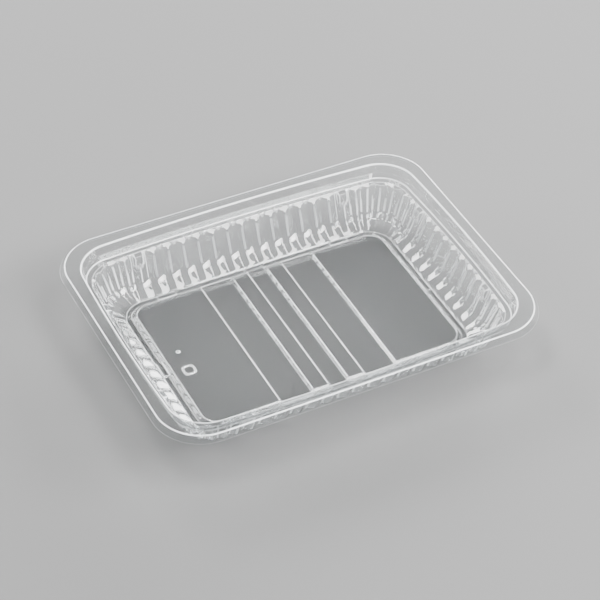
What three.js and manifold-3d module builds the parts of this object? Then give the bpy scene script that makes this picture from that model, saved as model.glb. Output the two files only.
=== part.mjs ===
// A deli tray thermoformed from one clear plastic sheet: a flat flange with a turned-down
// skirt, a stepped rim, fluted walls, a foot channel all round and a floor of raised and
// sunk panels. Millimetres, +Z up, with the origin at the middle of the face it stands on.
import * as THREE from 'three';
import { mergeVertices } from 'three/addons/utils/BufferGeometryUtils.js';
import Module from 'manifold-3d';

const wasm = await Module();
wasm.setup();

// Size over the bend where the flange turns down, and the depth below the flange's top.
const flangeLength = 220;
const flangeWidth = 165;
const flangeCorner = 25;
const trayHeight = 31.7;
const sheet = 0.5;

// Skirt outside the flange's bend.
const skirtFlare = 2.4;
const skirtDrop = 3.6;
const bendRadius = 1;

// Rim inside the flange. Every reach is measured in from the flange's bend.
const flangeReach = 9.2;
const seatReach = 10.2;
const seatDrop = 5.5;
const stepReach = 11.4;
const stepDrop = 8.5;
const ledgeReach = 13.8;
const ledgeDrop = 8.9;
const rimCorner = 18;
const longBow = 3;
const shortBow = 2.5;

// Fluted wall.
const wallTopReach = 14.8;
const wallTopDrop = 9.9;
const wallFootReach = 19.2;
const wallFootDrop = 25.4;
const curveReach = 21.4;
const curveDrop = 28;
const toeReach = 25;
const toeDrop = 29.9;
const fluteDepth = 2;
const flutePitch = 9.07;
const fluteRound = 0.09;
const cornerFlutes = 6;
const cornerFluteDepth = 1.3;

// Stacking lugs: the tops of the first and last flutes of each wall, pushed in to a pad.
const lugDrop = 15.4;
const lugStand = 1.7;
const lugShelf = 0.5;

// Foot channel.
const channelReach = 27.5;
const channelWidth = 3.1;
const channelCorner = 14;

// Floor panels. Rises are above the channel's own sheet.
const floorRise = 2.1;
const floorSlope = 2.4;
const sunkRise = 0.6;
const sunkSlope = 0.8;
const centrePanel = 12.6;
const stripInner = 29.8;
const stripOuter = 70.6;

// Bridges across the foot channel.
const bridgeRise = 0.7;
const bridgeWidth = 11.6;
const bridgeSlope = 0.5;
const bridgeSetIn = 14.4;

// Small raised moulding marks on the floor's end.
const ringMark = 3.4;
const ringMarkWall = 0.7;
const dotMark = 1.3;
const markRise = 0.3;
const markSetIn = 8.5;
const markSpacing = 15.2;

// Mesh fineness.
const sideCuts = 5;
const cornerCuts = 8;

// Straight runs of the walls, the same at every height so that the flutes stay upright.
const straightX = flangeLength / 2 - channelReach - channelCorner;
const straightY = flangeWidth / 2 - channelReach - channelCorner;

// Share of the way down from the rim's step to the channel.
function descent(drop) {
  return THREE.MathUtils.clamp((drop - stepDrop) / (trayHeight - sheet - stepDrop), 0, 1);
}

// Corner radius of the outline at a reach and a drop.
function cornerRadius(reach, drop) {
  if (drop < stepDrop && reach < flangeReach) {
    return THREE.MathUtils.mapLinear(reach, 0, flangeReach, flangeCorner, rimCorner);
  }
  const atStep = rimCorner - (Math.min(reach, stepReach) - flangeReach);
  const past = Math.max(0, reach - channelReach);
  return THREE.MathUtils.lerp(atStep, channelCorner, descent(drop)) - past;
}

// How much of the outward bow of the well's sides is present at a reach and a drop.
function bowShare(reach, drop) {
  return THREE.MathUtils.smoothstep(reach, 0, flangeReach) * (1 - descent(drop));
}

// A quarter of the outline runs up one side and round the corner after it. The stretch
// round the corner is measured out along its arc, so equal shares give equal steps.
function quarterPoint(side, share, halfAcross, halfAlong, straight, nextStraight, radius) {
  if (side) {
    return { x: halfAcross, y: THREE.MathUtils.lerp(-straight, straight, share), turn: 0 };
  }
  const before = halfAlong - radius - straight;
  const arc = radius * Math.PI / 2;
  const after = halfAcross - radius - nextStraight;
  const run = share * (before + arc + after);
  if (run <= before) {
    return { x: halfAcross, y: straight + run, turn: 0 };
  }
  if (run >= before + arc) {
    return { x: nextStraight + before + arc + after - run, y: halfAlong, turn: Math.PI / 2 };
  }
  const turn = (run - before) / radius;
  return {
    x: halfAcross - radius + radius * Math.cos(turn),
    y: halfAlong - radius + radius * Math.sin(turn),
    turn,
  };
}

// Point of the outline at a station. Stations run anticlockwise from 0 to 8: even whole
// numbers start a side, odd ones start a corner.
function outlinePoint(station, row, inward) {
  const span = Math.floor(station) % 8;
  const share = station - Math.floor(station);
  const quarter = Math.floor(span / 2);
  const halfX = flangeLength / 2 - row.reach;
  const halfY = flangeWidth / 2 - row.reach;
  const odd = quarter % 2 === 1;
  const point = quarterPoint(
    span % 2 === 0,
    share,
    odd ? halfY : halfX,
    odd ? halfX : halfY,
    odd ? straightX : straightY,
    odd ? straightY : straightX,
    row.radius,
  );
  const angle = quarter * Math.PI / 2;
  const place = new THREE.Vector2(point.x, point.y).rotateAround(new THREE.Vector2(), angle);
  const out = new THREE.Vector2(1, 0).rotateAround(new THREE.Vector2(), angle + point.turn);
  const bowX = 1 + row.bow * shortBow / halfX * (1 - (place.y / halfY) ** 2);
  const bowY = 1 + row.bow * longBow / halfY * (1 - (place.x / halfX) ** 2);
  return new THREE.Vector3(
    place.x * bowX - out.x * inward,
    place.y * bowY - out.y * inward,
    row.height,
  );
}

// Stations of a plain outline.
function plainStations() {
  const stations = [];
  for (let span = 0; span < 8; span += 1) {
    const cuts = span % 2 === 0 ? sideCuts : cornerCuts;
    for (let cut = 0; cut < cuts; cut += 1) {
      stations.push(span + cut / cuts);
    }
  }
  return stations;
}

// Whole flutes on each span of the outline, a span being a side or a corner.
function flutesOn(span) {
  if (span % 2 === 1) {
    return cornerFlutes;
  }
  return Math.max(1, Math.round(2 * (span % 4 === 0 ? straightY : straightX) / flutePitch));
}

// Four stations to a flute: two on its trough and two on its crest.
function flutedStations() {
  const stations = [];
  for (let span = 0; span < 8; span += 1) {
    const flutes = flutesOn(span);
    for (let flute = 0; flute < flutes; flute += 1) {
      stations.push(span + (flute + fluteRound) / flutes);
      stations.push(span + (flute + 0.5 - fluteRound) / flutes);
      stations.push(span + (flute + 0.5 + fluteRound) / flutes);
      stations.push(span + (flute + 1 - fluteRound) / flutes);
    }
  }
  return stations;
}

// How far a flute stands in from the wall's middle surface: crests positive.
function fluteInward(station) {
  const span = Math.floor(station) % 8;
  const share = station - Math.floor(station);
  const phase = (share * flutesOn(span)) % 1;
  const fold = 1 - 4 * Math.abs(phase - 0.5);
  const wave = THREE.MathUtils.clamp(fold / (1 - 4 * fluteRound), -1, 1);
  const taper = span % 2 === 1 ? Math.sin(share * Math.PI) : 0;
  return wave * THREE.MathUtils.lerp(fluteDepth, cornerFluteDepth, taper) / 2;
}

// Whether a station lies on a stacking lug.
function onLug(station) {
  const span = Math.floor(station) % 8;
  const flutes = flutesOn(span);
  const flute = Math.floor((station - Math.floor(station)) * flutes);
  return span % 2 === 0 && (flute === 0 || flute === flutes - 1);
}

// The tray's section from the skirt's free edge in to the channel, as reach and drop.
function sectionLine() {
  const line = [];
  const corner = (reach, drop, fluting, lug = false) => line.push({ reach, drop, fluting, lug });
  const chamfer = bendRadius * Math.tan(Math.PI / 8);
  corner(-skirtFlare, skirtDrop, 0);
  corner(-chamfer * 0.6, chamfer * 0.8, 0);
  corner(chamfer, 0, 0);
  corner(flangeReach - chamfer, 0, 0);
  corner(flangeReach + chamfer * 0.2, chamfer, 0);
  corner(seatReach, seatDrop, 0);
  corner(stepReach, stepDrop, 0);
  corner(ledgeReach, ledgeDrop, 0);
  const lean = (wallFootReach - wallTopReach) / (wallFootDrop - wallTopDrop);
  const wall = (drop, lug) => corner(wallTopReach + (drop - wallTopDrop) * lean, drop, 1, lug);
  wall(wallTopDrop, true);
  wall(lugDrop, true);
  wall(lugDrop + lugShelf, false);
  wall(wallFootDrop, false);
  corner(curveReach, curveDrop, 0.85);
  corner(toeReach, toeDrop, 0.45);
  corner(channelReach, trayHeight - sheet, 0);
  corner(channelReach + channelWidth / 2, trayHeight - sheet, 0);
  return line;
}

// The underside's section: the same line set out square to itself by the sheet's gauge.
function undersideLine(line) {
  const facing = (from, to) => {
    const along = new THREE.Vector2(to.reach - from.reach, to.drop - from.drop).normalize();
    return new THREE.Vector2(-along.y, along.x);
  };
  return line.map((here, index) => {
    const before = index > 0 ? facing(line[index - 1], here) : facing(here, line[index + 1]);
    const after = index < line.length - 1 ? facing(here, line[index + 1]) : before;
    const scale = sheet / (1 + before.dot(after));
    const shift = before.clone().add(after).multiplyScalar(scale);
    return { ...here, reach: here.reach + shift.x, drop: here.drop + shift.y };
  });
}

// One closed loop of points round the tray for a corner of the section. The underside
// takes its corner radius and bow from the top side, so that the sheet keeps its gauge.
function sectionLoop(row, topRow) {
  const outline = {
    reach: row.reach,
    height: trayHeight - row.drop,
    radius: cornerRadius(topRow.reach, topRow.drop) + topRow.reach - row.reach,
    bow: bowShare(topRow.reach, topRow.drop),
  };
  const stations = row.fluting > 0 ? flutedStations() : plainStations();
  return stations.map((station) => {
    const flute = fluteInward(station) * row.fluting;
    const inward = row.lug && onLug(station) ? lugStand : flute;
    return { station, place: outlinePoint(station, outline, inward) };
  });
}

// Triangles between two loops, stepping on whichever loop lags behind.
function bandTriangles(loopA, loopB, startA, startB) {
  const triangles = [];
  let a = 0;
  let b = 0;
  while (a < loopA.length || b < loopB.length) {
    const nextA = a + 1 < loopA.length ? loopA[a + 1].station : 8;
    const nextB = b + 1 < loopB.length ? loopB[b + 1].station : 8;
    const hereA = startA + a % loopA.length;
    const hereB = startB + b % loopB.length;
    if (b >= loopB.length || (a < loopA.length && nextA <= nextB)) {
      triangles.push(hereA, startA + (a + 1) % loopA.length, hereB);
      a += 1;
    } else {
      triangles.push(hereA, startB + (b + 1) % loopB.length, hereB);
      b += 1;
    }
  }
  return triangles;
}

// A closed band of sheet from its top loops and its underside loops.
function sheetGeometry(topLoops, undersideLoops) {
  const loops = [...topLoops, ...[...undersideLoops].reverse()];
  const positions = [];
  const starts = [];
  for (const loop of loops) {
    starts.push(positions.length / 3);
    loop.forEach((point) => positions.push(...point.place.toArray()));
  }
  const index = [];
  loops.forEach((loop, at) => {
    const next = (at + 1) % loops.length;
    index.push(...bandTriangles(loop, loops[next], starts[at], starts[next]));
  });
  const geometry = new THREE.BufferGeometry();
  geometry.setAttribute('position', new THREE.Float32BufferAttribute(positions, 3));
  geometry.setIndex(index);
  return geometry;
}

// A closed geometry as a solid that can be joined and cut.
function solid(geometry) {
  const bare = geometry.clone();
  bare.deleteAttribute('normal');
  bare.deleteAttribute('uv');
  const merged = mergeVertices(bare, 1e-4);
  const mesh = new wasm.Mesh({
    numProp: 3,
    vertProperties: new Float32Array(merged.attributes.position.array),
    triVerts: new Uint32Array(merged.index.array),
  });
  return new wasm.Manifold(mesh);
}

// Rounded rectangle as a shape, by its half sizes.
function roundedShape(halfX, halfY, radius) {
  const shape = new THREE.Shape();
  shape.absarc(halfX - radius, halfY - radius, radius, 0, Math.PI / 2);
  shape.absarc(radius - halfX, halfY - radius, radius, Math.PI / 2, Math.PI);
  shape.absarc(radius - halfX, radius - halfY, radius, Math.PI, 3 * Math.PI / 2);
  shape.absarc(halfX - radius, radius - halfY, radius, 3 * Math.PI / 2, 2 * Math.PI);
  return shape;
}

// Straight prism of a shape between two heights.
function prism(shape, bottom, top) {
  const geometry = new THREE.ExtrudeGeometry(shape, {
    depth: top - bottom,
    bevelEnabled: false,
    curveSegments: cornerCuts,
  });
  geometry.translate(0, 0, bottom);
  return solid(geometry);
}

// Block with a sloped edge all round, given by its half sizes at the bottom and the top.
function slopedBlock(centre, bottomHalf, topHalf, bottom, top) {
  const geometry = new THREE.BoxGeometry(1, 1, 1);
  const position = geometry.attributes.position;
  for (let i = 0; i < position.count; i += 1) {
    const upper = position.getZ(i) > 0;
    const half = upper ? topHalf : bottomHalf;
    position.setXYZ(
      i,
      centre.x + Math.sign(position.getX(i)) * half.x,
      centre.y + Math.sign(position.getY(i)) * half.y,
      upper ? top : bottom,
    );
  }
  return solid(geometry);
}

// How far in an underside slope stands when it is the top slope lowered by the sheet's
// gauge, for a slope of the given run to its rise.
function underShift(run, rise) {
  return sheet * (Math.hypot(run, rise) - run) / rise;
}

// Raised floor: a low rounded block whose side slopes in from the channel, reaching down
// to the given height. The underside's block is lowered by the gauge and drawn in.
function raisedFloor(lower, drawnIn, bottom) {
  const top = sheet + floorRise - lower;
  const loops = [bottom, top].map((height) => {
    const slope = (height + lower - sheet) * floorSlope / floorRise;
    const row = {
      reach: channelReach + channelWidth + drawnIn + slope,
      height,
      radius: channelCorner - channelWidth - drawnIn - slope * 0.8,
      bow: 0,
    };
    return plainStations().map((station) => outlinePoint(station, row, 0));
  });
  const count = loops[0].length;
  const positions = [];
  loops.forEach((loop) => loop.forEach((place) => positions.push(...place.toArray())));
  positions.push(0, 0, bottom, 0, 0, top);
  const index = [];
  for (let i = 0; i < count; i += 1) {
    const j = (i + 1) % count;
    index.push(i, j, count + j, i, count + j, count + i);
    index.push(2 * count, j, i);
    index.push(2 * count + 1, count + i, count + j);
  }
  const geometry = new THREE.BufferGeometry();
  geometry.setAttribute('position', new THREE.Float32BufferAttribute(positions, 3));
  geometry.setIndex(index);
  return solid(geometry);
}

// Blocks that sink the panels across the raised floor, for its top or its underside.
function sunkPanels(lower, spread) {
  const bottom = sheet + sunkRise - lower;
  const rise = floorRise + 1;
  const run = sunkSlope * rise / (floorRise - sunkRise);
  const panel = (centre, width) => {
    const half = width / 2 - sunkSlope + spread;
    return slopedBlock(
      new THREE.Vector2(centre, 0),
      new THREE.Vector2(half, flangeWidth / 2),
      new THREE.Vector2(half + run, flangeWidth / 2),
      bottom,
      bottom + rise,
    );
  };
  const middle = (stripInner + stripOuter) / 4;
  const width = (stripOuter - stripInner) / 2;
  return [panel(0, centrePanel), panel(middle, width), panel(-middle, width)];
}

// Bridge across the channel, its ends lost in the sheet of the wall and of the floor's
// edge. The hollow under it is one gauge lower and narrower.
function bridge(quarter, centre, width, hollow) {
  const wallSlope = (trayHeight - sheet - toeDrop) / (channelReach - toeReach);
  const edgeSlope = floorRise / floorSlope;
  const inner = channelReach + channelWidth;
  const profile = new THREE.Shape();
  if (hollow) {
    const wallEnd = channelReach - 0.5 * bridgeRise / wallSlope;
    const floorEnd = inner + 0.5 * bridgeRise / edgeSlope;
    profile.moveTo(wallEnd, -sheet);
    profile.lineTo(floorEnd, -sheet);
    profile.lineTo(floorEnd, bridgeRise);
    profile.lineTo(wallEnd, bridgeRise);
  } else {
    const climb = bridgeRise + sheet / 2;
    profile.moveTo(channelReach, sheet / 2);
    profile.lineTo(inner, sheet / 2);
    profile.lineTo(inner + climb / edgeSlope, sheet + bridgeRise);
    profile.lineTo(channelReach - climb / wallSlope, sheet + bridgeRise);
  }
  const across = hollow ? width - 2.4 * sheet : width;
  const geometry = new THREE.ExtrudeGeometry(profile, { depth: across, bevelEnabled: false });
  geometry.translate(0, 0, -across / 2);
  const position = geometry.attributes.position;
  for (let i = 0; i < position.count; i += 1) {
    const narrowed = position.getY(i) > sheet ? 1 - 2 * bridgeSlope / across : 1;
    position.setZ(i, position.getZ(i) * narrowed);
  }
  geometry.rotateX(Math.PI / 2);
  geometry.rotateZ(Math.PI);
  geometry.translate((quarter % 2 === 0 ? flangeLength : flangeWidth) / 2, centre, 0);
  geometry.rotateZ(quarter * Math.PI / 2);
  return solid(geometry);
}

// Bridges on all four sides, or the hollows under them.
function bridges(hollow) {
  const list = [];
  for (let quarter = 0; quarter < 4; quarter += 1) {
    if (quarter % 2 === 0) {
      list.push(bridge(quarter, 0, bridgeWidth, hollow));
    } else {
      const outer = straightX - bridgeSetIn;
      list.push(bridge(quarter, 0, centrePanel, hollow));
      list.push(bridge(quarter, -outer, bridgeWidth, hollow));
      list.push(bridge(quarter, outer, bridgeWidth, hollow));
    }
  }
  return list;
}

// Raised ring and dot on the floor's end.
function marks() {
  const level = sheet + floorRise;
  const end = channelReach + channelWidth + floorSlope + markSetIn - flangeLength / 2;
  const rim = new THREE.Shape();
  rim.absarc(end, -markSpacing / 2, ringMark, 0, 2 * Math.PI);
  const hole = new THREE.Path();
  hole.absarc(end, -markSpacing / 2, ringMark - ringMarkWall, 0, 2 * Math.PI, true);
  rim.holes.push(hole);
  const dot = new THREE.Shape();
  dot.absarc(end, markSpacing / 2, dotMark, 0, 2 * Math.PI);
  return [rim, dot].map((shape) => prism(shape, level - sheet / 2, level + markRise));
}

function joined(first, others) {
  return others.reduce((whole, piece) => whole.add(piece), first);
}

function cutBy(first, cutters) {
  return cutters.reduce((whole, cutter) => whole.subtract(cutter), first);
}

// Rim and walls.
const topLine = sectionLine();
const lowLine = undersideLine(topLine);
const topLoops = topLine.map((row) => sectionLoop(row, row));
const lowLoops = lowLine.map((row, index) => sectionLoop(row, topLine[index]));
const walls = solid(sheetGeometry(topLoops, lowLoops));

// Floor with its panels: an upper face less an under face, each with the panels sunk in it.
const footPlate = prism(
  roundedShape(
    flangeLength / 2 - channelReach - channelWidth / 4,
    flangeWidth / 2 - channelReach - channelWidth / 4,
    channelCorner - channelWidth / 4,
  ),
  0,
  sheet,
);
const floorIn = underShift(floorSlope, floorRise);
const panelOut = underShift(sunkSlope, floorRise - sunkRise);
const upperFace = cutBy(raisedFloor(0, 0, 0), sunkPanels(0, 0));
const underFace = cutBy(raisedFloor(sheet, floorIn, -sheet), sunkPanels(sheet, panelOut));
const floor = footPlate.add(upperFace).subtract(underFace);

const tray = cutBy(joined(walls.add(floor), [...bridges(false), ...marks()]), bridges(true));

// A solid's triangles as a geometry.
function geometryOf(whole) {
  const mesh = whole.getMesh();
  const geometry = new THREE.BufferGeometry();
  const stride = mesh.numProp;
  const positions = new Float32Array(mesh.vertProperties.length / stride * 3);
  for (let i = 0; i < positions.length / 3; i += 1) {
    positions.set(mesh.vertProperties.subarray(i * stride, i * stride + 3), i * 3);
  }
  geometry.setAttribute('position', new THREE.BufferAttribute(positions, 3));
  geometry.setIndex(new THREE.BufferAttribute(new Uint32Array(mesh.triVerts), 1));
  geometry.computeVertexNormals();
  return geometry;
}

const clearPlastic = new THREE.MeshStandardMaterial({
  name: 'clear_plastic',
  color: new THREE.Color(0.93, 0.95, 0.96),
  roughness: 0.06,
  metalness: 0,
  transparent: true,
  opacity: 0.25,
});

const trayMesh = new THREE.Mesh(geometryOf(tray), clearPlastic);
trayMesh.name = 'tray';

const container = new THREE.Group();
container.name = 'deli_food_container';
container.add(trayMesh);

export default container;
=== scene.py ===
import bpy
import math
import numpy as np
from mathutils import Matrix, Vector
from mathutils.geometry import delaunay_2d_cdt


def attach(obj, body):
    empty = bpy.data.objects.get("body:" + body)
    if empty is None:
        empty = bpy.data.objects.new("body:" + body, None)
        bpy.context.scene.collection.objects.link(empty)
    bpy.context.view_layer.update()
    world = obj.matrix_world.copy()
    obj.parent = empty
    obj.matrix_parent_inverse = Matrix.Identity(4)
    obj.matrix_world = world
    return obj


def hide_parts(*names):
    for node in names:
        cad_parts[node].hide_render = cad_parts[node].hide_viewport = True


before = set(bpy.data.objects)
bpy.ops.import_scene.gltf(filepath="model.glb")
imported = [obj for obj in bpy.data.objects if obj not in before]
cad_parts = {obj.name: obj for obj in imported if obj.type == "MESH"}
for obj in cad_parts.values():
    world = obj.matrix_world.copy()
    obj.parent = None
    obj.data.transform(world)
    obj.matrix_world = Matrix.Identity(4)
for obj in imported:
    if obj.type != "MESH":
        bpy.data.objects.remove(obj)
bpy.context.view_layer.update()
mm = 0.001
print("frame loaded")


# Camera, at the photograph's angle. Degrees and metres.
view = {
    "azimuth": -28.64,
    "elevation": 42.19,
    "roll": 2.21,
    "distance": 1.1315,
    "aim": (-0.00493, -0.01177, 0.0317),
    "lens": 126.9,
    "near": 0.01,
}


def makeCamera():
    azimuth = math.radians(view["azimuth"])
    elevation = math.radians(view["elevation"])
    back = Vector((
        math.sin(azimuth) * math.cos(elevation),
        -math.cos(azimuth) * math.cos(elevation),
        math.sin(elevation),
    ))
    right = Vector((0, 0, 1)).cross(back).normalized()
    up = back.cross(right)
    turn = Matrix((right, up, back)).transposed() @ Matrix.Rotation(math.radians(view["roll"]), 3, "Z")
    data = bpy.data.cameras.new("camera")
    data.lens = view["lens"]
    data.clip_start = view["near"]
    camera = bpy.data.objects.new("camera", data)
    camera.matrix_world = Matrix.Translation(Vector(view["aim"]) + back * view["distance"]) @ turn.to_4x4()
    bpy.context.scene.collection.objects.link(camera)
    bpy.context.scene.camera = camera


makeCamera()
print("camera placed")


# The tray's outline. Lengths in millimetres, reach measured in from the flange's bend.
outline = {
    "length": 220,
    "width": 165,
    "height": 31.7,
    "sheet": 0.5,
    "flangeCorner": 25,
    "rimCorner": 18,
    "channelCorner": 14,
    "flangeReach": 9.2,
    "stepReach": 11.4,
    "stepDrop": 8.5,
    "channelReach": 27.5,
    "longBow": 3.0,
    "shortBow": 2.5,
}
channelDrop = outline["height"] - outline["sheet"]
straightX = outline["length"] / 2 - outline["channelReach"] - outline["channelCorner"]
straightY = outline["width"] / 2 - outline["channelReach"] - outline["channelCorner"]


def descent(drop):
    return min(max((drop - outline["stepDrop"]) / (channelDrop - outline["stepDrop"]), 0), 1)


def cornerRadius(reach, drop):
    if drop < outline["stepDrop"] and reach < outline["flangeReach"]:
        share = reach / outline["flangeReach"]
        return outline["flangeCorner"] + (outline["rimCorner"] - outline["flangeCorner"]) * share
    atStep = outline["rimCorner"] - (min(reach, outline["stepReach"]) - outline["flangeReach"])
    radius = atStep + (outline["channelCorner"] - atStep) * descent(drop)
    return radius - max(0, reach - outline["channelReach"])


def bowShare(reach, drop):
    share = min(max(reach / outline["flangeReach"], 0), 1)
    return share * share * (3 - 2 * share) * (1 - descent(drop))


# Points of the outline at stations 0 to 8 (even whole numbers start a side, odd ones a
# corner), with the direction in towards the tray's middle.
def outlinePoints(stations, reach, radius, bow):
    span = np.floor(stations).astype(int) % 8
    share = stations - np.floor(stations)
    quarter = span // 2
    onSide = span % 2 == 0
    odd = quarter % 2 == 1
    halfX = outline["length"] / 2 - reach
    halfY = outline["width"] / 2 - reach
    across = np.where(odd, halfY, halfX)
    along = np.where(odd, halfX, halfY)
    straight = np.where(odd, straightX, straightY)
    nextStraight = np.where(odd, straightY, straightX)
    before = along - radius - straight
    arc = radius * math.pi / 2
    after = across - radius - nextStraight
    run = share * (before + arc + after)
    turn = np.clip((run - before) / radius, 0, math.pi / 2)
    cornerX = across - radius + radius * np.cos(turn) - np.maximum(run - before - arc, 0)
    cornerY = along - radius + radius * np.sin(turn) - np.maximum(before - run, 0)
    localX = np.where(onSide, across, cornerX)
    localY = np.where(onSide, straight * (2 * share - 1), cornerY)
    turn = np.where(onSide, 0, turn)
    angle = quarter * math.pi / 2
    x = localX * np.cos(angle) - localY * np.sin(angle)
    y = localX * np.sin(angle) + localY * np.cos(angle)
    outX = np.cos(angle + turn)
    outY = np.sin(angle + turn)
    bowedX = x * (1 + bow * outline["shortBow"] / halfX * (1 - (y / halfY) ** 2))
    bowedY = y * (1 + bow * outline["longBow"] / halfY * (1 - (x / halfX) ** 2))
    return bowedX, bowedY, -outX, -outY


# The sheet's section from the skirt's free edge in to the foot of the floor panels. Each
# corner is its reach, its drop below the flange, and the radius and steps of its bend.
section = {
    "corners": (
        (-2.4, 3.6, 0, 0),
        (0.0, 0.0, 0.9, 5),
        (9.2, 0.0, 0.9, 4),
        (10.2, 5.5, 1.6, 3),
        (11.4, 8.5, 0.7, 3),
        (13.8, 8.9, 0.3, 2),
        (14.8, 9.9, 0.35, 2),
        (19.2, 25.4, 3.0, 4),
        (21.4, 28.0, 3.0, 4),
        (25.0, 29.9, 2.5, 4),
        (27.5, 31.2, 0.5, 3),
    ),
    "longestStep": 1.3,
    "setBackLimit": 0.45,
    "fluteTop": 8.97,
    "fluteFull": 9.9,
    "fluteFade": 25.4,
    "fluteEnd": 31.0,
    "chamferFull": 0.75,
    "chamferEnd": 10.15,
}


def sectionRows():
    corners = [np.array(corner[:2], float) for corner in section["corners"]]
    points = []
    for index, corner in enumerate(section["corners"]):
        radius, steps = corner[2:]
        here = corners[index]
        if radius == 0:
            points.append(here)
            continue
        before = corners[index - 1] - here
        atEnd = index + 1 == len(corners)
        after = np.array([1.0, 0.0]) if atEnd else corners[index + 1] - here
        beforeLength = np.linalg.norm(before)
        afterLength = np.linalg.norm(after)
        before = before / beforeLength
        after = after / afterLength
        half = math.acos(float(np.clip(before @ after, -1, 1))) / 2
        limit = section["setBackLimit"] * min(beforeLength, afterLength)
        setBack = min(radius / math.tan(half), limit)
        for step in range(steps + 1):
            share = step / steps
            near = here + before * setBack * (1 - share)
            far = here + after * setBack * share
            points.append(near * (1 - share) + far * share)
    # Long straight stretches of the fluted wall are cut so that its curves stay smooth.
    rows = [points[0]]
    for point in points[1:]:
        last = rows[-1]
        fluted = last[1] >= section["fluteTop"] - 0.01
        cuts = max(1, math.ceil(np.linalg.norm(point - last) / section["longestStep"])) if fluted else 1
        rows += [last + (point - last) * cut / cuts for cut in range(1, cuts + 1)]
    return rows


# How much of the flutes' depth a row has: capped in the slanting wedges at their heads,
# fading out towards the foot.
def fluteAmount(drop):
    rise = (drop - section["fluteTop"]) / (section["fluteFull"] - section["fluteTop"])
    fall = (section["fluteEnd"] - drop) / (section["fluteEnd"] - section["fluteFade"])
    fall = min(max(fall, 0), 1)
    top = section["chamferFull"] if drop < section["chamferEnd"] else 1
    return min(max(rise, 0), top) * math.sqrt(fall)


# Floor inside the wall's foot: channel, raised panels, sunk panels and bridges.
floor = {
    "channelWidth": 3.1,
    "rise": 2.1,
    "slope": 2.4,
    "sunkRise": 0.6,
    "sunkTilt": 52,
    "footRadius": 0.16,
    "headRadius": 0.72,
    "bendStops": (0, 0.33, 0.67, 1),
    "centrePanel": 12.6,
    "stripInner": 29.8,
    "stripOuter": 70.6,
    "bridgeRise": 0.7,
    "bridgeWidth": 11.6,
    "bridgeSlope": 0.6,
    "bridgeStops": (0, 0.2, 0.5, 0.8, 1),
    "bridgeSpacing": 54,
    "bridgeZone": 6,
    "bridgeFadeFrom": 0.4,
    "bridgeFade": 0.8,
    "bend": 0.18,
    "firstRow": 0.35,
    "lastRow": 6.5,
    "cornerShrink": 0.8,
    "stripsEnd": 61,
}


def eased(share):
    share = np.clip(share, 0, 1)
    return share * share * (3 - 2 * share)


# Profile of the ramp up from a sunk panel: a tight bend, a straight slope, a wider bend.
def rampProfile():
    foot, head = floor["footRadius"], floor["headRadius"]
    tilt = math.radians(floor["sunkTilt"])
    rise = floor["rise"] - floor["sunkRise"]
    width = (foot + head) * math.tan(tilt / 2) + rise / math.tan(tilt)
    turns = tilt * np.array(floor["bendStops"])
    across, up = np.sin(turns), 1 - np.cos(turns)
    return (np.concatenate((foot * across, (width - head * across)[::-1])),
            np.concatenate((foot * up, (rise - head * up)[::-1])))


rampAlong, rampUp = rampProfile()


# Height over the channel that the sunk panels allow at a place along the tray.
def panelRise(x):
    def ramp(distance):
        return np.interp(distance, rampAlong, rampUp)
    away = np.abs(x)
    width = rampAlong[-1]
    centre = ramp(away - (floor["centrePanel"] / 2 - width))
    strip = np.maximum(
        ramp(away - (floor["stripOuter"] / 2 - width)), ramp(floor["stripInner"] / 2 + width - away))
    return floor["sunkRise"] + np.minimum(centre, strip)


# Height of the bridges across the channel: three on each long side, one on each short.
def bridgeRise(x, y):
    def hump(along, centre, width):
        return eased((width / 2 - np.abs(along - centre)) / floor["bridgeSlope"])

    def near(place, size):
        return np.abs(np.abs(place) - (size / 2 - outline["channelReach"])) < floor["bridgeZone"]

    onLong = hump(x, 0, floor["centrePanel"])
    onLong = np.maximum(onLong, hump(np.abs(x), floor["bridgeSpacing"], floor["bridgeWidth"]))
    onShort = hump(y, 0, floor["bridgeWidth"])
    onLong = np.where(near(y, outline["width"]), onLong, 0)
    onShort = np.where(near(x, outline["length"]), onShort, 0)
    return floor["bridgeRise"] * np.maximum(onLong, onShort)


# How finely each part of the sheet is cut.
fineness = {
    "pointsPerFlute": 12,
    "cornerFlutes": 6,
    "flutePitch": 9.07,
    "rimSideCuts": 16,
    "rimCornerCuts": 28,
    "floorCornerCuts": 14,
    "floorRowStep": 0.3,
    "longSideStops": (11, 24, 42),
    "shortSideStops": (14, 24, 33),
}


def flutesOn(span):
    if span % 2 == 1:
        return fineness["cornerFlutes"]
    return max(1, round(2 * (straightY if span % 4 == 0 else straightX) / fineness["flutePitch"]))


def stationSet(cutsOn):
    return np.concatenate([span + np.arange(cutsOn(span)) / cutsOn(span) for span in range(8)])


def rimCuts(span):
    return fineness["rimSideCuts"] if span % 2 == 0 else fineness["rimCornerCuts"]


rimStations = stationSet(rimCuts)
fluteStations = stationSet(lambda span: flutesOn(span) * fineness["pointsPerFlute"])


# The flutes that carry a lug, the first and last of each side, get points half as far apart.
def lugStations(stations):
    between = (stations + np.roll(stations, -1)) / 2
    between[-1] = (stations[-1] + 8) / 2
    span = np.floor(between).astype(int)
    share = between - span
    flutesHere = np.array([flutesOn(s) for s in span])
    onLug = (span % 2 == 0) & ((share * flutesHere < 1) | (share * flutesHere > flutesHere - 1))
    return np.sort(np.concatenate([stations, between[onLug]]))


fluteStations = lugStations(fluteStations)


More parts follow.
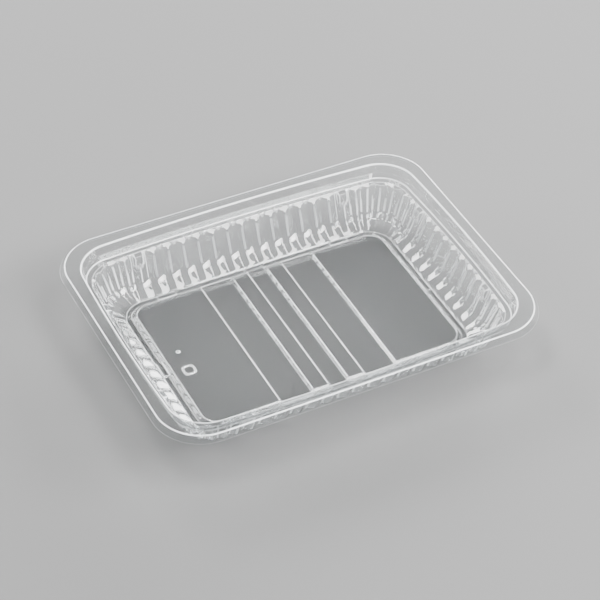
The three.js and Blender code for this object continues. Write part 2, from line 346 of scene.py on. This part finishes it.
# Floor stations fall on every edge of the panels and bridges, so the edges stay crisp.
def floorStations():
    width = rampAlong[-1]
    panelStops = [floor["stripInner"] / 2 + width - along for along in rampAlong]
    for edge in (floor["centrePanel"] / 2, floor["stripOuter"] / 2):
        panelStops += [edge - width + along for along in rampAlong]
    half = floor["bridgeWidth"] / 2
    bridgeStops = [half - floor["bridgeSlope"] * share for share in floor["bridgeStops"]]
    longStops = panelStops + [floor["bridgeSpacing"], *fineness["longSideStops"]]
    longStops += [floor["bridgeSpacing"] + side * stop for stop in bridgeStops for side in (-1, 1)]
    shortStops = bridgeStops + list(fineness["shortSideStops"])
    stations = []
    for span in range(8):
        if span % 2 == 1:
            cuts = fineness["floorCornerCuts"]
            stations += [span + cut / cuts for cut in range(cuts)]
            continue
        onLong = span % 4 == 2
        straight = straightX if onLong else straightY
        stops = sorted(longStops if onLong else shortStops)
        stops = [-stop for stop in reversed(stops)] + [0] + stops
        stations += [span] + [span + 0.5 + stop / straight / 2 for stop in stops]
    return np.array(stations)


innerStations = floorStations()


# What each point of the sheet carries for the node tree, by its kind.
sheetAttributes = {
    "phase": "FLOAT",
    "corner": "FLOAT",
    "fluteAmount": "FLOAT",
    "chamfer": "FLOAT",
    "lug": "FLOAT",
    "inward": "FLOAT_VECTOR",
}


# The sheet's top face as loops joined by bands, then the floor's fill.
class Sheet:
    def __init__(self):
        self.points = []
        self.faces = []
        self.attributes = {name: [] for name in sheetAttributes}
        self.count = 0

    def loop(self, stations, reach, height, radius, bow, drop=None):
        x, y, inX, inY = outlinePoints(stations, reach, radius, bow)
        start = self.count
        share = stations - np.floor(stations)
        spans = np.floor(stations).astype(int) % 8
        flutes = np.array([flutesOn(span) for span in spans])
        onChamfer = bool(drop) and section["fluteTop"] < drop < section["chamferEnd"]
        carried = {
            "phase": share * flutes,
            "corner": np.where(spans % 2 == 1, np.sin(share * math.pi), 0),
            "fluteAmount": np.full(x.shape, fluteAmount(drop) if drop else 0),
            "chamfer": np.full(x.shape, float(onChamfer)),
            "lug": lugShare(stations, drop) if drop else np.zeros(x.shape),
            "inward": np.stack([inX, inY, np.zeros_like(inX)], 1),
        }
        self.points.append(np.stack([x, y, np.broadcast_to(height, x.shape)], 1))
        for name, values in carried.items():
            self.attributes[name].append(values)
        self.count += len(x)
        return start, stations

    def loosePoints(self, points):
        self.points.append(points)
        for name, values in self.attributes.items():
            values.append(np.zeros((len(points), 3) if name == "inward" else len(points)))
        self.count += len(points)

    def band(self, outer, inner):
        startA, stationsA = outer
        startB, stationsB = inner
        if len(stationsA) == len(stationsB) and np.allclose(stationsA, stationsB):
            n = len(stationsA)
            for i in range(n):
                j = (i + 1) % n
                self.faces.append((startA + i, startA + j, startB + j, startB + i))
            return
        a = b = 0
        endA, endB = len(stationsA), len(stationsB)
        while a < endA or b < endB:
            nextA = stationsA[a + 1] if a + 1 < endA else 8
            nextB = stationsB[b + 1] if b + 1 < endB else 8
            if b >= endB or (a < endA and nextA <= nextB):
                self.faces.append((startA + a % endA, startA + (a + 1) % endA, startB + b % endB))
                a += 1
            else:
                self.faces.append((startA + a % endA, startB + (b + 1) % endB, startB + b % endB))
                b += 1


def buildSheet():
    sheet = Sheet()
    previous = None
    for reach, drop in sectionRows():
        fluted = section["fluteTop"] - 0.01 < drop < section["fluteEnd"]
        here = sheet.loop(
            fluteStations if fluted else rimStations, reach, outline["height"] - drop,
            cornerRadius(reach, drop), bowShare(reach, drop), drop)
        if previous:
            sheet.band(previous, here)
        previous = here
    for into in np.arange(floor["firstRow"], floor["lastRow"], fineness["floorRowStep"]):
        past = into - floor["channelWidth"]
        reach = outline["channelReach"] + into
        radius = outline["channelCorner"] - min(into, floor["channelWidth"])
        radius -= max(past, 0) * floor["cornerShrink"]
        x, y, _, _ = outlinePoints(innerStations, reach, radius, 0)
        height = np.minimum(climb(past / floor["slope"] * floor["rise"]), panelRise(x))
        inChannel = 1 - eased((past - floor["bridgeFadeFrom"]) / floor["bridgeFade"])
        height = np.maximum(height, bridgeRise(x, y) * inChannel)
        here = sheet.loop(innerStations, reach, outline["sheet"] + height, radius, 0)
        sheet.band(previous, here)
        previous = here
    fillFloor(sheet, previous)
    return sheet


# Height up a straight climb from the channel, with a small bend at its foot and its head.
def climb(height):
    rise = floor["rise"]
    soft = floor["bend"]
    foot = soft * math.log1p(math.exp(height / soft))
    return rise - soft * math.log1p(math.exp((rise - foot) / soft)) if foot < rise + 4 else rise


def ringRange(first, last, count):
    steps = (last - first) % count
    return [(first + step) % count for step in range(steps + 1)]


# Strips across the floor between the two long sides, and a closing face at each end.
def fillFloor(sheet, ring):
    start, stations = ring
    spans = np.floor(stations).astype(int)
    count = len(stations)
    far = [i for i in range(count) if spans[i] == 2]
    near = [i for i in range(count) if spans[i] == 6]
    far.append(far[-1] + 1)
    near.append(near[-1] + 1)
    near.reverse()
    placed = np.concatenate(sheet.points)
    across = [k for k in range(len(far)) if abs(placed[start + far[k]][0]) < floor["stripsEnd"]]
    far = [far[k] for k in across]
    near = [near[k] for k in across]
    for k in range(len(far) - 1):
        sheet.faces.append(tuple(start + i for i in (far[k], far[k + 1], near[k + 1], near[k])))
    fillEnd(sheet, [start + i for i in ringRange(near[0], far[0], count)], [])
    fillEnd(sheet, [start + i for i in ringRange(far[-1], near[-1], count)], markPoints())


# Small raised moulding marks on the floor's left end: a rounded square outline and a dot.
marks = {
    "ringAt": (-68.5, -7.6),
    "ringRadius": 3.0,
    "ringWall": 0.6,
    "dotAt": (-68.0, 7.6),
    "dotRadius": 1.2,
    "rise": 0.4,
    "steepness": 1.4,
}


def markRise(x, y):
    toRing = (abs(x - marks["ringAt"][0]) ** 4 + abs(y - marks["ringAt"][1]) ** 4) ** 0.25
    toDot = math.hypot(x - marks["dotAt"][0], y - marks["dotAt"][1])
    ring = 1 - abs(toRing - marks["ringRadius"]) / marks["ringWall"]
    dot = marks["steepness"] * (1 - toDot / marks["dotRadius"])
    return marks["rise"] * float(eased(max(ring, dot) * marks["steepness"]))


# Points on loops round each mark: its centre, middle radius, spacing, steps, points to a
# loop, and a power that is 2 for a round loop and more for a squarish one.
def markPoints():
    ring = (marks["ringAt"], marks["ringRadius"], marks["ringWall"] / 3, range(-4, 5), 48, 4)
    dot = (marks["dotAt"], 0, marks["dotRadius"] / 4, range(5, 0, -1), 20, 2)
    points = []
    for (atX, atY), middle, spacing, steps, count, power in (ring, dot):
        for step in steps:
            for turn in range(count):
                across = math.cos(2 * math.pi * turn / count)
                along = math.sin(2 * math.pi * turn / count)
                reach = (abs(across) ** power + abs(along) ** power) ** (1 / power)
                size = (middle + spacing * step) / reach
                points.append((atX + across * size, atY + along * size))
    return points


# A face inside a ring of the sheet's points, cut so that it passes through extra points.
def fillEnd(sheet, ring, extra):
    placed = np.concatenate(sheet.points)
    outer = [Vector(placed[i][:2]) for i in ring]
    inner = [Vector(point) for point in extra]
    border = list(range(len(ring)))
    _, _, faces, origins, _, _ = delaunay_2d_cdt(outer + inner, [], [border], 1, 1e-5)
    base = placed[ring[0]][2]
    start = sheet.count
    if extra:
        heights = [base + markRise(*point) for point in extra]
        sheet.loosePoints(np.array([(*point, height) for point, height in zip(extra, heights)]))
    for face in faces:
        corners = [origins[corner][0] for corner in face]
        sheet.faces.append(tuple(
            ring[corner] if corner < len(ring) else start + corner - len(ring) for corner in corners))


# Stacking lugs: short tongues on the upper wall that hang from the ledge.
lugs = {
    "width": 5.8,
    "foot": 16.6,
    "stand": 1.7,
    "edge": 0.5,
    "crease": 12.6,
    "creaseHeight": 0.8,
    "lowerShare": 0.6,
    "top": 9.02,
}


# 1 on a lug's upper half, less below its crease and 0 off it, with a soft edge and a
# rounded foot.
def lugShare(stations, drop):
    span = np.floor(stations).astype(int) % 8
    share = stations - np.floor(stations)
    long = span % 4 == 2
    straight = np.where(long, straightX, straightY)
    pitch = 2 * straight / np.where(long, flutesOn(2), flutesOn(0))
    along = np.abs((share - 0.5) * 2 * straight)
    aside = np.abs(along - (straight - pitch / 2))
    half = lugs["width"] / 2
    below = max(0, drop - (lugs["foot"] - half))
    distance = np.hypot(aside, below)
    inside = eased((half - distance) / lugs["edge"] + 0.5)
    lower = float(eased((drop - lugs["crease"]) / lugs["creaseHeight"]))
    proud = 1 - (1 - lugs["lowerShare"]) * lower
    return np.where(span % 2 == 0, inside * proud, 0) * (drop > lugs["top"])


sheet = buildSheet()
print("sheet laid out:", sheet.count, "points,", len(sheet.faces), "faces")


def meshFromSheet(sheet):
    mesh = bpy.data.meshes.new("tray_sheet")
    mesh.from_pydata((np.concatenate(sheet.points) * mm).tolist(), [], sheet.faces)
    for name, kind in sheetAttributes.items():
        key = "vector" if kind == "FLOAT_VECTOR" else "value"
        values = np.concatenate(sheet.attributes[name]).astype(np.float32)
        mesh.attributes.new(name, kind, "POINT").data.foreach_set(key, values.ravel())
    mesh.update()
    return mesh


# Geometry node trees are made through this helper.
class GeometryTree:
    def __init__(self, name):
        self.tree = bpy.data.node_groups.new(name, "GeometryNodeTree")
        self.tree.interface.new_socket("Geometry", in_out="INPUT", socket_type="NodeSocketGeometry")
        self.tree.interface.new_socket("Geometry", in_out="OUTPUT", socket_type="NodeSocketGeometry")
        self.identifiers = {}
        self.inputNode = self.tree.nodes.new("NodeGroupInput")
        self.outputNode = self.tree.nodes.new("NodeGroupOutput")

    def input(self, name, kind):
        socket = self.tree.interface.new_socket(name, in_out="INPUT", socket_type=kind)
        self.identifiers[name] = socket.identifier
        return self.inputNode.outputs[name]

    def node(self, kind, settings=(), values=()):
        node = self.tree.nodes.new(kind)
        for key, value in dict(settings).items():
            setattr(node, key, value)
        for key, value in dict(values).items():
            if isinstance(value, bpy.types.NodeSocket):
                self.tree.links.new(value, node.inputs[key])
            else:
                node.inputs[key].default_value = value
        return node

    def maths(self, operation, first, second=0.0):
        return self.node("ShaderNodeMath", {"operation": operation}, {0: first, 1: second}).outputs[0]

    def named(self, name, kind="FLOAT"):
        return self.node("GeometryNodeInputNamedAttribute", {"data_type": kind}, {"Name": name}).outputs[0]


# Flutes folded into the wall: a wave of flat slopes with rounded ridges, square to the
# wall's outline. In the wedges at their heads it sinks as much as it stands in.
flutes = {
    "Side Depth": 2.0 * mm,
    "Corner Depth": 1.3 * mm,
    "Ridge": 0.993,
    "Lug Stand": lugs["stand"] * mm,
}


def fluteTree(material):
    g = GeometryTree("fold_flutes")
    sideDepth = g.input("Side Depth", "NodeSocketFloat")
    cornerDepth = g.input("Corner Depth", "NodeSocketFloat")
    ridge = g.input("Ridge", "NodeSocketFloat")
    lugStand = g.input("Lug Stand", "NodeSocketFloat")
    turn = g.maths("MULTIPLY", g.named("phase"), 2 * math.pi)
    wave = g.maths("ARCSINE", g.maths("MULTIPLY", g.maths("COSINE", turn), ridge))
    wave = g.maths("MULTIPLY", g.maths("DIVIDE", wave, g.maths("ARCSINE", ridge)), -0.5)
    depth = g.maths("MULTIPLY", g.maths("SUBTRACT", cornerDepth, sideDepth), g.named("corner"))
    depth = g.maths("ADD", sideDepth, depth)
    fold = g.maths("MULTIPLY", g.maths("MULTIPLY", wave, depth), g.named("fluteAmount"))
    lug = g.named("lug")
    fold = g.maths("MULTIPLY", fold, g.maths("SUBTRACT", 1.0, lug))
    sink = g.maths("MULTIPLY", g.maths("MULTIPLY", fold, g.named("chamfer")), -1.0)
    fold = g.maths("ADD", fold, g.maths("MULTIPLY", lug, lugStand))
    inward = g.named("inward", "FLOAT_VECTOR")
    sideways = g.node("ShaderNodeVectorMath", {"operation": "SCALE"}, {0: inward, "Scale": fold})
    down = g.node("ShaderNodeCombineXYZ", {}, {"Z": sink})
    offset = g.node("ShaderNodeVectorMath", {"operation": "ADD"}, {0: sideways.outputs[0], 1: down.outputs[0]})
    moved = g.node("GeometryNodeSetPosition", {}, {
        "Geometry": g.inputNode.outputs["Geometry"], "Offset": offset.outputs[0]})
    realized = g.node("GeometryNodeRealizeInstances", {}, {"Geometry": moved.outputs[0]})
    finished = g.node("GeometryNodeSetMaterial", {}, {"Geometry": realized.outputs[0]})
    finished.inputs["Material"].default_value = material
    g.tree.links.new(finished.outputs[0], g.outputNode.inputs[0])
    return g


# A shader socket whose maths reads as maths.
class Value:
    def __init__(self, material, socket):
        self.material = material
        self.socket = socket

    def maths(self, operation, other, swapped=False):
        pair = (other, self) if swapped else (self, other)
        return self.material.node("ShaderNodeMath", {"operation": operation}, {0: pair[0], 1: pair[1]})

    def __add__(self, other):
        return self.maths("ADD", other)

    def __radd__(self, other):
        return self.maths("ADD", other, True)

    def __sub__(self, other):
        return self.maths("SUBTRACT", other)

    def __rsub__(self, other):
        return self.maths("SUBTRACT", other, True)

    def __mul__(self, other):
        return self.maths("MULTIPLY", other)

    def __rmul__(self, other):
        return self.maths("MULTIPLY", other, True)


class Finish:
    def __init__(self, name):
        self.material = bpy.data.materials.new(name)
        self.material.use_nodes = True
        self.tree = self.material.node_tree
        self.tree.nodes.clear()

    def node(self, kind, settings=(), values=(), output=0):
        node = self.tree.nodes.new(kind)
        for key, value in dict(settings).items():
            setattr(node, key, value)
        for key, value in dict(values).items():
            if isinstance(value, Value):
                self.tree.links.new(value.socket, node.inputs[key])
            else:
                node.inputs[key].default_value = value
        return Value(self, node.outputs[output]) if node.outputs else node


plastic = {
    "color": (0.97, 0.985, 0.99, 1),
    "ior": 1.57,
    "roughness": 0.03,
    "unevenness": 0.05,
    "cloudScale": 60,
    "waviness": 0.00001,
    "wavinessScale": 25,
    "hazeAndHighlightColor": (0.93, 0.95, 0.96, 1),
    "hazeAndHighlightRoughness": 0.5,
    "cloudLeast": 0.6,
    "cloudSpread": 0.8,
    "flatHaze": 0.004,
    "wallHaze": 0.02,
    # The bend share is a painted highlight: white mixed in along the creases in place of their glints.
    "paintedBendHighlight": 0.5,
}


# Clear sheet with a little milky haze, more where the wall was drawn thin. At the bends a large white share is
# a painted highlight, standing in for the bright glints along the creases.
def clearPlastic():
    m = Finish("clear_plastic")
    place = m.node("ShaderNodeTexCoord", output="Object")
    cloud = m.node("ShaderNodeTexNoise", {}, {
        "Vector": place, "Scale": plastic["cloudScale"], "Detail": 3.0})
    swell = m.node("ShaderNodeTexNoise", {}, {
        "Vector": place, "Scale": plastic["wavinessScale"], "Detail": 1.0})
    bump = m.node("ShaderNodeBump", {}, {
        "Height": swell, "Distance": plastic["waviness"], "Strength": 1.0})
    clear = m.node("ShaderNodeBsdfPrincipled", {}, {
        "Base Color": plastic["color"],
        "Roughness": plastic["roughness"] + plastic["unevenness"] * cloud * cloud,
        "IOR": plastic["ior"],
        "Transmission Weight": 1.0,
        "Normal": bump,
    })
    # Whitish shader for the haze, and for the painted highlight along the bends.
    milkyHazeAndHighlight = m.node("ShaderNodeBsdfPrincipled", {}, {
        "Base Color": plastic["hazeAndHighlightColor"],
        "Roughness": plastic["hazeAndHighlightRoughness"],
        "IOR": plastic["ior"],
    })
    drawn = m.node("ShaderNodeAttribute", {"attribute_name": "drawn"}, output="Fac")
    bend = m.node("ShaderNodeAttribute", {"attribute_name": "bend"}, output="Fac")
    uneven = plastic["cloudLeast"] + plastic["cloudSpread"] * cloud
    # The bend term paints a white highlight along the creases; the rest is haze.
    hazeAndHighlightShare = plastic["wallHaze"] * drawn * uneven + plastic["paintedBendHighlight"] * bend + plastic["flatHaze"]
    shader = m.node("ShaderNodeMixShader", {}, {0: hazeAndHighlightShare, 1: clear, 2: milkyHazeAndHighlight})
    m.node("ShaderNodeOutputMaterial", {}, {"Surface": shader})
    return m.material


clearSheet = clearPlastic()
print("clear plastic made")


# How tightly each face turns from its neighbours for its own width, in radians a
# millimetre: 0 on flat sheet, 1 in a sharp bend.
# The clear plastic paints a white highlight where this value is high.
bends = {
    "from": 0.35,
    "to": 1.2,
    "shortest": 0.01,
    "narrowest": 0.05,
}


# One property of every item of a mesh, as an array.
def listed(items, name, width=1, kind=float):
    values = np.empty(len(items) * width, kind)
    items.foreach_get(name, values)
    return values.reshape(-1, width) if width > 1 else values


def markBends(mesh):
    count = len(mesh.polygons)
    places = listed(mesh.vertices, "co", 3) / mm
    ends = listed(mesh.edges, "vertices", 2, int)
    loopEdges = listed(mesh.loops, "edge_index", 1, int)
    normals = listed(mesh.polygons, "normal", 3)
    areas = listed(mesh.polygons, "area") / mm / mm
    sides = listed(mesh.polygons, "loop_total", 1, int)
    lengths = np.linalg.norm(places[ends[:, 0]] - places[ends[:, 1]], axis=1)
    loopFaces = np.repeat(np.arange(count), sides)
    order = np.argsort(loopEdges, kind="stable")
    edges = loopEdges[order]
    faces = loopFaces[order]
    paired = np.nonzero(edges[1:] == edges[:-1])[0]
    first, second = faces[paired], faces[paired + 1]
    length = lengths[edges[paired]]
    angle = np.arccos(np.clip((normals[first] * normals[second]).sum(1), -1, 1))
    bend = np.zeros(count)
    for face in (first, second):
        width = np.maximum(areas[face] / np.maximum(length, bends["shortest"]), bends["narrowest"])
        np.maximum.at(bend, face, np.where(length > 2 * width, angle / width, 0))
    bend = eased((bend - bends["from"]) / (bends["to"] - bends["from"]))
    mesh.attributes.new("bend", "FLOAT", "FACE").data.foreach_set("value", bend.astype(np.float32))


# The solidified mesh holds the inner face's quads first, then the outer face's in the
# same order. Where the outer face folds over itself in a tight bend, its points move to
# the middle of their neighbours until it runs along with the inner face again.
folds = {
    "turns": 120,
    "limit": -0.3,
    "closest": 0.02 * mm,
}


def easeFolds(mesh):
    faceCount = len(sheet.faces)
    pointCount = len(mesh.vertices) // 2
    loopPoints = listed(mesh.loops, "vertex_index", 1, int)
    starts = listed(mesh.polygons, "loop_start", 1, int)
    sides = listed(mesh.polygons, "loop_total", 1, int)
    ends = listed(mesh.edges, "vertices", 2, int)
    places = listed(mesh.vertices, "co", 3)
    corners = [loopPoints[starts + step % sides] for step in range(4)]

    def facing(faces):
        one, two, three, four = (places[corner[faces]] for corner in corners)
        normal = np.cross(three - one, four - two)
        return normal / np.maximum(np.linalg.norm(normal, axis=1), 1e-12)[:, None]

    inner = np.arange(faceCount)
    outer = inner + faceCount
    ahead = facing(inner)
    ends = ends[(ends >= pointCount).all(1)]
    ends = np.concatenate((ends, ends[:, ::-1]))
    here, there = ends.T
    apart = np.linalg.norm(places[here - pointCount] - places[there - pointCount], axis=1)
    pull = 1 / np.maximum(apart, folds["closest"])

    def gathered(weights):
        return np.bincount(here, weights, len(places))

    total = gathered(pull)
    for turn in range(folds["turns"]):
        folded = (facing(outer) * ahead).sum(1) > folds["limit"]
        if turn == 0:
            print("folded over before:", folded.sum())
        if not folded.any():
            break
        moving = np.unique(np.concatenate([corner[outer[folded]] for corner in corners]))
        middle = np.stack([gathered(pull * places[there, axis]) for axis in range(3)], 1)
        places[moving] = middle[moving] / total[moving][:, None]
    print("folded over after:", folded.sum())
    mesh.vertices.foreach_set("co", places.ravel())
    mesh.update()


# Hard edges past this angle in degrees, and how much the larger faces lead the normals.
smoothing = {
    "sharpAngle": 27,
    "weight": 50,
}


def formTray():
    mesh = meshFromSheet(sheet)
    rough = bpy.data.objects.new("tray_rough", mesh)
    bpy.context.scene.collection.objects.link(rough)
    tree = fluteTree(clearSheet)
    folding = rough.modifiers.new("flutes", "NODES")
    folding.node_group = tree.tree
    for name, value in flutes.items():
        folding[tree.identifiers[name]] = value
    wall = rough.modifiers.new("gauge", "SOLIDIFY")
    wall.thickness = outline["sheet"] * mm
    wall.offset = -1
    wall.use_even_offset = False
    bpy.context.view_layer.update()
    evaluated = rough.evaluated_get(bpy.context.evaluated_depsgraph_get())
    formed = bpy.data.meshes.new_from_object(evaluated)
    formed.name = "tray_sheet"
    bpy.data.objects.remove(rough)
    easeFolds(formed)
    for attribute in ("phase", "corner", "chamfer", "lug", "inward"):
        if attribute in formed.attributes:
            formed.attributes.remove(formed.attributes[attribute])
    formed.attributes["fluteAmount"].name = "drawn"
    markBends(formed)
    formed.polygons.foreach_set("use_smooth", [True] * len(formed.polygons))
    formed.set_sharp_from_angle(angle=math.radians(smoothing["sharpAngle"]))
    tray = bpy.data.objects.new("tray_sheet", formed)
    bpy.context.scene.collection.objects.link(tray)
    # Normals follow the larger faces, so that flat panels reflect as flat ones.
    weighting = tray.modifiers.new("flat_panels", "WEIGHTED_NORMAL")
    weighting.keep_sharp = True
    weighting.weight = smoothing["weight"]
    return tray


tray = formTray()
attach(tray, "root")
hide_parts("tray")
print("tray formed:", sum(len(polygon.vertices) - 2 for polygon in tray.data.polygons), "triangles")


# Plain pale floor and soft studio light.
studio = {
    "floorColor": (0.11, 0.11, 0.11, 1),
    "floorRoughness": 0.9,
    "floorGrain": 0.1,
    "grainScale": 3.0,
    "floorHalf": 4,
    "floorHeight": -0.0002,
    "world": 0.2,
}


def makeFloor():
    m = Finish("studio_floor")
    place = m.node("ShaderNodeTexCoord", output="Object")
    grain = m.node("ShaderNodeTexNoise", {}, {"Vector": place, "Scale": studio["grainScale"]})
    shader = m.node("ShaderNodeBsdfPrincipled", {}, {
        "Base Color": studio["floorColor"],
        "Roughness": studio["floorRoughness"] + studio["floorGrain"] * grain,
    })
    m.node("ShaderNodeOutputMaterial", {}, {"Surface": shader})
    mesh = bpy.data.meshes.new("studio_floor")
    half = studio["floorHalf"]
    corners = [(-half, -half, 0), (half, -half, 0), (half, half, 0), (-half, half, 0)]
    mesh.from_pydata(corners, [], [(0, 1, 2, 3)])
    mesh.materials.append(m.material)
    ground = bpy.data.objects.new("studio_floor", mesh)
    ground.location.z = studio["floorHeight"]
    bpy.context.scene.collection.objects.link(ground)


# Each lamp's place, what it aims at, its two sizes and its power in watts.
lamps = {
    "front_right_low": ((0.42, -1.0, 0.09), (0, 0, 0.02), (0.55, 0.14), 6),
    "front_right_high": ((0.388, -0.761, 0.769), (0, 0, 0), (0.8, 0.42), 27),
    "back_left_light": ((-0.78, 0.75, 0.4), (0, 0, 0), (0.9, 0.45), 24),
    "back_right_light": ((0.85, 0.79, 0.27), (0, 0, 0), (0.8, 0.4), 38),
    "overhead_light": ((0.43, -0.24, 1.1), (0, 0, 0), (0.5, 0.35), 17),
    "right_light": ((1.0, -0.5, 0.56), (0, 0, 0), (0.6, 0.3), 30),
    "top_light": ((-0.42, 0.15, 1.35), (0, 0, 0), (0.5, 0.4), 24),
    "back_light": ((-0.08, 1.0, 0.65), (0, 0, 0), (0.45, 0.3), 16),
}


def softLight(name, place, aim, size, power):
    data = bpy.data.lights.new(name, "AREA")
    data.shape = "RECTANGLE"
    data.size, data.size_y = size
    data.energy = power
    lamp = bpy.data.objects.new(name, data)
    lamp.location = place
    lamp.rotation_euler = (Vector(aim) - Vector(place)).to_track_quat("-Z", "Y").to_euler()
    lamp.visible_camera = False
    bpy.context.scene.collection.objects.link(lamp)


def lightStudio():
    world = bpy.data.worlds.new("studio")
    world.use_nodes = True
    world.node_tree.nodes["Background"].inputs[0].default_value = (1, 1, 1, 1)
    world.node_tree.nodes["Background"].inputs[1].default_value = studio["world"]
    bpy.context.scene.world = world
    for name, lamp in lamps.items():
        softLight(name, *lamp)


makeFloor()
lightStudio()
print("studio set")
